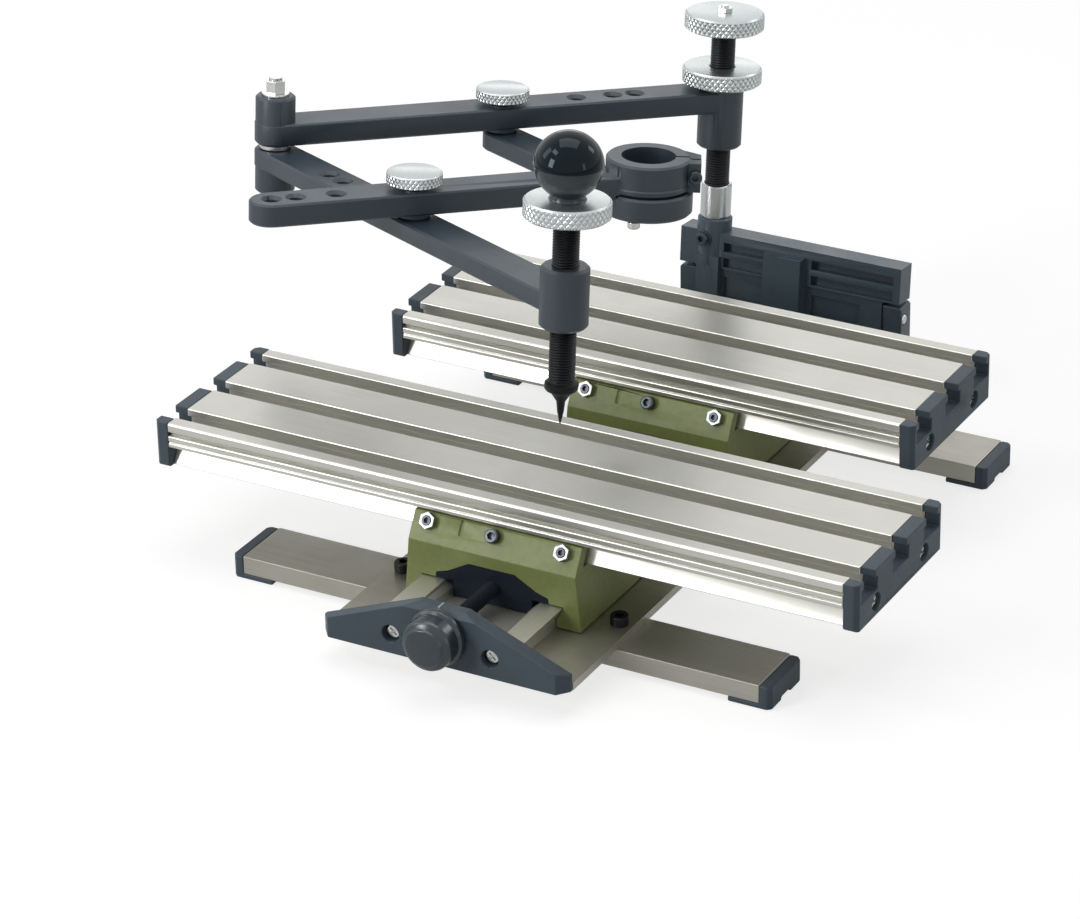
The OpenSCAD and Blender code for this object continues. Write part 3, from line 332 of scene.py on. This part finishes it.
def turned(name, radius, height, place, ring=False):
    """A turned surface. Row i, column j of the grid stands radius[i, j] millimetres from the axis, at the
    height height[i, j] along it and at the angle 2 pi j / columns round it. place carries points from the
    axis to the part. The first and last rows close in a point each, or join each other for a ring."""
    rows, columns = radius.shape
    angle = 2 * np.pi * np.arange(columns) / columns
    points = np.stack([radius * np.cos(angle), radius * np.sin(angle), height], axis=-1).reshape(-1, 3)
    index = np.arange(rows * columns).reshape(rows, columns)
    low, high = (index, np.roll(index, -1, axis=0)) if ring else (index[:-1], index[1:])
    quads = np.stack([low, np.roll(low, -1, axis=1), np.roll(high, -1, axis=1), high], axis=-1)
    faces = quads.reshape(-1, 4).tolist()
    if not ring:
        points = np.vstack([points, [0, 0, height[0].mean()], [0, 0, height[-1].mean()]])
        first, last, end = index[0], index[-1], rows * columns
        faces += np.stack([np.full(columns, end), np.roll(first, -1), first], axis=-1).tolist()
        faces += np.stack([np.full(columns, end + 1), last, np.roll(last, -1)], axis=-1).tolist()
    mesh = bpy.data.meshes.new(name)
    mesh.from_pydata((place(points) / 1000).tolist(), [], faces)
    mesh.polygons.foreach_set("use_smooth", np.ones(len(faces), bool))
    mesh.set_sharp_from_angle(angle=crease_angle)
    return mesh


def revolved(profile, columns=96):
    """A profile of (radius, height) pairs, one row each, the same all the way round."""
    profile = np.array(profile, float)
    return np.repeat(profile[:, :1], columns, axis=1), np.repeat(profile[:, 1:], columns, axis=1)


def threaded(diameter, z0, z1, depth, columns=rod_sides):
    """A screw thread: the radius falls from the crest by the depth, as a triangle wave of the height divided
    by the pitch less the share of the turn. It fades out over half a turn at both ends."""
    rows_per_turn = 6
    rows = int((z1 - z0) / thread_pitch * rows_per_turn) + 1
    z = np.linspace(z0, z1, rows)[:, None] + np.zeros(columns)
    share = np.arange(columns) / columns
    wave = np.abs(2 * ((z / thread_pitch - share) % 1) - 1)
    fade = np.clip(np.minimum(z - z0, z1 - z) / (0.5 * thread_pitch), 0, 1)
    return diameter / 2 - depth * wave * fade, z


def joined(*parts):
    """Stacks the rows of several (radius, height) grids into one."""
    return np.vstack([p[0] for p in parts]), np.vstack([p[1] for p in parts])


def along_y(x, y, z, sign):
    """Carries points from a vertical axis to one along Y from (x, y, z): the axis becomes sign times Y."""
    return lambda p: np.stack([x + p[:, 0], y + sign * p[:, 2], z - sign * p[:, 1]], axis=-1)


low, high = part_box("feed_spindle")
spindle_front, spindle_length = low.y * 1000, (high.y - low.y) * 1000
spindle_z, spindle_d = (low.z + high.z) * 500, (high.z - low.z) * 1000
tip_chamfer, tip_length, spindle_sides = 0.9, 1.01, 40
spindle_rows = joined(revolved([(0.3, 0.0), (spindle_d / 2, 0.0)], spindle_sides),
                      threaded(spindle_d, 0.01, spindle_length - tip_length, 0.42, spindle_sides),
                      revolved([(spindle_d / 2 - tip_chamfer, spindle_length), (0.3, spindle_length)],
                               spindle_sides))
# Black steel for the spindle: darker than the blackened screws, with a blue cast, which is painted shade:
# it is coloured as dark as the shadow under the saddle that it runs in.
spindle_steel_painted_shade = finish_of("black_steel_painted_shade", "#141A22", "#10151C", 0.0, (0.6, 0.7), (0.3, 0.3, 0.3), 0.006,
                        level=0.12)
keep("spindle_thread", turned("spindle_thread", *spindle_rows, along_y(0.0, spindle_front, spindle_z, 1)),
     "feed_spindle", spindle_steel_painted_shade)


# Hand knob
# Moulded nylon on the spindle's end: a flange against the bar, a smooth barrel and a softly rounded front.
# The profile gives radius and distance from the bar.
knob_profile = [(0.3, 0.0), (9.9, 0.0), (10.5, 0.25), (10.7, 0.8), (10.7, 2.2), (10.5, 2.7), (10.1, 3.0),
                (9.75, 3.4), (9.65, 7.4), (9.55, 8.3), (9.25, 9.1), (8.6, 9.7), (7.7, 10.0), (7.35, 10.2),
                (7.2, 10.5), (7.15, 10.8), (6.95, 11.08), (6.6, 11.2), (0.3, 11.2)]
low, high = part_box("hand_knob")
knob_back = high.y * 1000
# Polished nylon: smoother and shinier than the caps', because the hand rubs it. Its shade shifts over 4 mm.
knob_nylon = finish_of("moulded_nylon_polished", "#2D3840", "#283239", 0.0, (0.2, 0.25), (4, 4, 4), 0.001,
                       level=0.6)
keep("hand_knob_turned",
     turned("hand_knob_turned", *revolved(knob_profile), along_y(0.0, knob_back, spindle_z, -1)),
     "hand_knob", knob_nylon)


# Saddles
# Two cast bridges, enamelled, with a dovetail seat for the table above and for the guide below.
# The feed spindle moves the front one through its nut, the rear one is moved by hand.
# Stove enamel: olive green, satin, with a slight waviness of 2 mm.
olive_enamel = finish_of("stove_enamel_olive", "#808952", "#77814D", 0.0, (0.32, 0.42), (2, 2, 2), 0.01,
                         level=0.3)
eased("front_saddle", 0.4, olive_enamel, full=True)
eased("rear_saddle", 0.4, olive_enamel, full=True)


# Saddle gibs, nuts and screws
# A brass strip takes up the play of each dovetail, pushed by two set screws with bright hexagon nuts.
# A dark socket screw between them locks the table.
# Brass: warm yellow, drawn lines along X, 12 mm long and 0.3 mm wide.
drawn_brass = finish_of("drawn_brass", "#C9A766", "#A98A52", 1.0, (0.3, 0.42), (12, 0.3, 0.3), 0.01)
# Zinc-plated steel: duller than the nickel, a grain of 0.4 mm.
zinc_steel = finish_of("zinc_plated_steel", "#A4A7A6", "#949898", 1.0, (0.34, 0.44), (0.4, 0.4, 0.4), 0.004)
# Oiled steel: mid grey, a grain of 0.3 mm.
grey_steel = finish_of("oiled_steel_grey", "#54585D", "#45494E", 0.9, (0.34, 0.46), (0.3, 0.3, 0.3), 0.006)
for side in ("front", "rear"):
    eased(side + "_gib", 0.15, drawn_brass)
    eased(side + "_lip_nuts", 0.2, zinc_steel)
    eased(side + "_gib_screws", 0.15, grey_steel)
    eased(side + "_lock_screw", 0.25, grey_steel)

# Moulded nylon for the feed nut: matt, a grain of 0.6 mm. Its near black with a blue cast is painted shade:
# the block is coloured as dark as the deep shadow in the saddle's arch that it stands in.
nut_painted_shade_nylon = finish_of("moulded_nylon_black_painted_shade", "#19222E", "#151D28", 0.0, (0.6, 0.7), (0.6, 0.6, 0.6), 0.02,
                      level=0.15)
eased("front_feed_nut", 0.3, nut_painted_shade_nylon)


# Cross tables
# Extruded aluminium with three open T-slots on top and fine ribs along the sides, sawn to length.
# The front table is the longer one.
# Satin anodised aluminium: warm light grey, with drawn lines along X, 60 mm long and 0.4 mm wide.
table_aluminium = finish_of("anodised_aluminium_satin", "#D3D2CB", "#C8C7C0", 0.85, (0.28, 0.38),
                            (60, 0.4, 0.4), 0.004)
eased("front_table", 0.42, table_aluminium, full=True)
eased("rear_table", 0.42, table_aluminium, full=True)


# Table end caps and their screws
# Moulded nylon plates over the sawn ends, with the slots left open.
# Each is held by two bright cross-head screws.
for side in ("front", "rear"):
    eased(side + "_table_caps", 0.4, cap_nylon, full=True)
    eased(side + "_cap_screws", 0.12, nickel_steel)


# Tilting bracket
# A ribbed casting, powder coated like its foot, that tips on the pin through the foot's ears.
# It carries the column's boss at its left, and a small screw clamps the boss.
eased("bracket_leaf", 0.9, powder_coat, 3)
# Black oxide on steel: dark grey, a little lighter than the paint round it.
oxide_steel = finish_of("black_oxide_steel", "#414B52", "#384148", 0.4, (0.35, 0.45), (0.3, 0.3, 0.3), 0.006)
eased("boss_clamp_screw", 0.2, oxide_steel)


# Column
# A blackened threaded rod in the bracket's boss, with a polished steel sleeve at its foot.
# It leans back with the bracket about the hinge pin. Heights on it are taken from that pin.
lean = radians(5.6)
hinge_y, hinge_z = 138, 34.2
column_x = -35.2
column_d, column_foot, column_end = 9.6, 15.4, 107.6


def leaning(u, v):
    """Carries points from a vertical axis to the leaning one at u, v: u runs along X, v back and down, and
    the axis up and back, all from the hinge pin."""
    turn = np.array([[1, 0, 0], [0, cos(lean), sin(lean)], [0, -sin(lean), cos(lean)]])
    return lambda p: (p + [u, v, 0]) @ turn.T + [0, hinge_y, hinge_z]


# Ground steel: bright, with a very fine lathe grain around it, 0.2 mm along the axis.
ground_steel = finish_of("ground_steel", "#C3C6C8", "#B8BCBE", 1.0, (0.22, 0.3), (3, 3, 0.2), 0.0015)
column_rows = joined(revolved([(0.3, column_foot), (4.0, column_foot)], rod_sides),
                     threaded(column_d, column_foot + 0.2, column_end - 0.1, 0.34),
                     revolved([(4.0, column_end), (0.3, column_end)], rod_sides))
keep("column_thread", turned("column_thread", *column_rows, leaning(column_x, 0)), "column_rod", black_steel)
eased("column_sleeve", 0.3, ground_steel)


# Knurled discs
# Turned aluminium, the rim diamond-knurled between two chamfers and the faces left smooth.
# The top one is held on the column by a small nut, and the lower one lies on the upper arm's boss.
disc_d, disc_height = 30.8, 6.7
column_top, lock_top = 109.6, 87.8
lock_disc_raised = 0.15


def knurled(diameter, z0, z1, edge, around, pitch, depth, columns):
    """The rim between the chamfers, cut by two families of grooves: the turn times the count around, plus and
    minus the height divided by the pitch. The nearer groove sets how far the rim falls below the diameter."""
    row_height, steepness = 0.24, 2.4
    rows = max(10, int((z1 - z0 - 2 * edge) / row_height))
    z = np.linspace(z0 + edge, z1 - edge, rows)[:, None] + np.zeros(columns)
    turn = np.arange(columns) / columns * around
    first = 1 - 2 * np.abs((turn + z / pitch) % 1 - 0.5)
    second = 1 - 2 * np.abs((turn - z / pitch) % 1 - 0.5)
    return diameter / 2 - depth * (1 - np.clip(steepness * np.minimum(first, second), 0, 1)), z


def disc(z0, z1, bore):
    """A knurled rim with smooth chamfered faces and a bore, as one closed ring of rows."""
    edge, columns = 0.7, 420
    root = disc_d / 2 - 0.35
    under = revolved([(bore, z0), (root - edge, z0), (root, z0 + edge)], columns)
    rim = knurled(disc_d, z0, z1, edge, around=42, pitch=2.8, depth=0.42, columns=columns)
    over = revolved([(root, z1 - edge), (root - edge + 0.25, z1 - 0.06), (root - edge, z1), (bore + 0.4, z1),
                     (bore, z1 - 0.4)], columns)
    return joined(under, rim, over)


# Turned aluminium: silvery, with fine lathe rings, drawn as a 0.5 mm grain.
turned_aluminium = finish_of("turned_aluminium", "#C4C9CA", "#B6BCBD", 1.0, (0.3, 0.4), (0.5, 0.5, 0.5),
                             0.004)
centre_hole, thread_bore = 0.2, 4.86
column_disc = disc(column_top - disc_height, column_top, centre_hole)
lock_disc = disc(lock_top - disc_height + lock_disc_raised, lock_top, thread_bore)
for node, rows in (("column_disc", column_disc), ("lock_disc", lock_disc)):
    keep(node + "_knurled", turned(node + "_knurled", *rows, leaning(column_x, 0), True), node,
         turned_aluminium)
eased("column_nut", 0.15, nickel_steel)


# Knurled clamp screws
# Turned aluminium heads on the two link pivots, finely knurled, with a smooth top.
# Each stands on a small shoulder and turns on a pin that goes down through both arms.
arm_a_length, arm_a_angle = 179.6, radians(227.9)
arm_b_length, arm_b_angle = 184.4, radians(-25.6)
elbow = arm_a_length * np.array([cos(arm_a_angle), sin(arm_a_angle)])
stylus = elbow + arm_b_length * np.array([cos(arm_b_angle), sin(arm_b_angle)])
clamp_head_d, clamp_sides = 20.4, 350
head_top, head_under, shoulder, pin_end = 85.6, 81.2, 79.44, 61.8
for node, (u, v) in (("clamp_knob_a", elbow / 2), ("clamp_knob_b", (elbow + stylus) / 2)):
    pin = revolved([(0.2, pin_end), (2.5, pin_end), (2.5, shoulder), (4.3, shoulder), (4.5, shoulder + 0.2),
                    (4.5, head_under), (9.4, head_under), (9.9, head_under + 0.55)], clamp_sides)
    rim = knurled(clamp_head_d, head_under, head_top, 0.5, around=35, pitch=2.4, depth=0.32,
                  columns=clamp_sides)
    crown = revolved([(9.9, head_top - 0.5), (9.7, head_top - 0.15), (9.4, head_top), (0.2, head_top)],
                     clamp_sides)
    keep(node + "_knurled", turned(node + "_knurled", *joined(pin, rim, crown), leaning(column_x + u, v)),
         node, turned_aluminium)


# Arms
# Four flat aluminium bars with round bosses, enamelled, with spare holes for other pantograph ratios.
# The holes are drilled after enamelling, so their walls are bare metal below the countersinks.
# Black enamel on machined aluminium: smooth satin, a grain of 0.5 mm barely shows.
arm_enamel = finish_of("black_enamel_satin", "#2C3943", "#27333D", 0.0, (0.4, 0.48), (0.5, 0.5, 0.5), 0.004,
                       level=0.6)
spare_hole_d, countersink, spare_shift = 5.4, 1.2, 0.7
fine_sides = 144
# The links meet at the tool collar, half-way from the column to the stylus. The spare holes are placed by a
# third, a quarter and a fifth of a long arm's length.
tool = stylus / 2
along_c = tool - elbow / 2
back_along = ((elbow + stylus) / 2 - tool) / np.linalg.norm((elbow + stylus) / 2 - tool)
spare_holes = [elbow / n for n in (3, 4, 5)] + [elbow + (stylus - elbow) / n for n in (3, 4, 5)]
spare_holes += [tool - along_c * 2 / n for n in (3, 4, 5)]
spare_holes += [tool + back_along * (arm_a_length * (1 - 1 / n) - spare_shift) for n in (3, 4, 5)]


def countersunk(shape):
    """Bevels the upper rim of each spare hole by the countersink. A hole's wall is found by its distance from
    the hole's axis and by its face normals, which are square to the axis. It is left as bare metal."""
    axis = np.array([0, sin(lean), cos(lean)])
    square_enough, wall_slack, same_height = 0.1, 0.05, 1e-5
    holes = [leaning(column_x + u, v)(np.zeros((1, 3)))[0] for u, v in spare_holes]
    rims, walls = set(), set()
    for face in shape.faces:
        middle = np.array(face.calc_center_median()) * 1000
        for hole in holes:
            off = middle - hole
            off -= off @ axis * axis
            square = abs(np.array(face.normal) @ axis) < square_enough
            if square and np.linalg.norm(off) < spare_hole_d / 2 + wall_slack:
                walls.add(face)
                top = max(np.array(v.co) @ axis for v in face.verts)
                for edge in face.edges:
                    if all(np.array(v.co) @ axis > top - same_height for v in edge.verts):
                        rims.add(edge)
    for face in walls:
        face.material_index = 1
    if rims:
        bmesh.ops.bevel(shape, geom=list(rims), offset=countersink / 1000, offset_type="OFFSET", segments=1,
                        profile=0.5, affect="EDGES", material=0)


# Bare drilled aluminium: grey and rough, with fine rings from the drill 0.3 mm apart.
drilled_aluminium = finish_of("drilled_aluminium", "#7C8184", "#6A6F72", 1.0, (0.4, 0.5), (2, 2, 0.3), 0.006)
for node in ("arm_a", "arm_b", "arm_c", "arm_d"):
    arm = eased(node, 0.35, arm_enamel, cut=countersunk, outer=node == "arm_d")
    arm.data.materials.append(drilled_aluminium)

# A raised bead runs round the upper ring of the tool collar, level with the underside of the clamp lug.
bead = [(15.4, 74.5), (15.85, 74.5), (16.1, 74.6), (16.15, 74.8), (16.05, 75.0), (15.75, 75.35), (15.4, 75.5)]
keep("collar_bead",
     turned("collar_bead", *revolved(bead, fine_sides), leaning(column_x + tool[0], tool[1]), True),
     "arm_d", arm_enamel)


# Elbow stud, washers and nut
# The plated stud joins the two long arms at the elbow, under a hexagon nut.
# Two coated spacers fill the height between the arms at the links' pivots.
for node in ("elbow_stud", "elbow_washers", "elbow_nut"):
    eased(node, 0.15, nickel_steel)
for node in ("link_spacer", "arm_spacer"):
    eased(node, 0.15, powder_coat)


# Tool collar screws
# A dark socket screw closes the slit of the upper ring.
# A small plated screw sits under the lower ring.
eased("collar_screw", 0.2, oxide_steel)
eased("ring_screw", 0.15, nickel_steel)


# Stylus
# A blackened threaded rod in the lower long arm's end, with a flange and a long point below.
# A knurled disc on the rod, like the column's, sets how deep the point reaches.
stylus_at = leaning(column_x + stylus[0], stylus[1])
stylus_d, stylus_disc_top = 9.6, 102.0
point_and_flange = revolved([(0.1, 19.4), (0.25, 19.45), (1.2, 24.0), (1.6, 27.8), (4.2, 31.8), (5.4, 32.0),
                             (6.0, 32.8), (6.0, 34.8), (4.8, 35.4)], rod_sides)
stylus_rows = joined(point_and_flange, threaded(stylus_d, 35.5, 99.4, 0.5),
                     revolved([(4.4, 100.0), (0.1, 100.0)], rod_sides))
keep("stylus_thread", turned("stylus_thread", *stylus_rows, stylus_at), "stylus_rod", black_steel)
stylus_disc = disc(stylus_disc_top - disc_height, stylus_disc_top, thread_bore)
keep("stylus_disc_knurled", turned("stylus_disc_knurled", *stylus_disc, stylus_at, True), "stylus_disc",
     turned_aluminium)


# Ball grip
# Moulded thermoset in two halves that meet in a small ridge: a polished dome over a satin bowl on a neck.
# It sits on the stylus rod above the disc, and the hand holds it.
ball_centre, ball_foot = 113.9, 102.03
bowl_radius, dome_radius = 11.9, 12.3
bowl_arc = np.radians(np.linspace(-57.0, -1.0, 24))
dome_arc = np.radians(np.linspace(1.6, 89.0, 44))
bowl_profile = [(0.2, ball_foot), (6.7, ball_foot), (6.5, ball_foot + 0.25), (6.3, ball_foot + 0.8),
                (6.3, ball_foot + 1.6)]
bowl_profile += [(bowl_radius * cos(a), ball_centre + bowl_radius * sin(a)) for a in bowl_arc]
bowl_profile += [(bowl_radius, ball_centre), (0.2, ball_centre)]
dome_profile = [(0.2, ball_centre), (12.0, ball_centre), (12.25, ball_centre + 0.12)]
dome_profile += [(dome_radius * cos(a), ball_centre + dome_radius * sin(a)) for a in dome_arc]
# Polished thermoset: deep black with a mirror gloss of a cold cast, faintly wavy at 6 mm.
ball_gloss = finish_of("thermoset_gloss_black", "#06131A", "#041015", 0.0, (0.04, 0.07), (6, 6, 6), 0.006,
                       level=0.24)
ball_gloss.node_tree.nodes["Principled BSDF"].inputs["Specular Tint"].default_value = linear("#D2E6EF")
# Unpolished thermoset: a lighter, satin black, as it left the mould.
bowl_satin = finish_of("thermoset_satin_black", "#2A363C", "#252F35", 0.0, (0.16, 0.22), (6, 6, 6), 0.006)
for piece, profile, material in (("ball_bowl_turned", bowl_profile, bowl_satin),
                                 ("ball_grip_turned", dome_profile, ball_gloss)):
    half = turned(piece, *revolved(profile, fine_sides), stylus_at)
    keep(piece, half, "ball_grip", material)
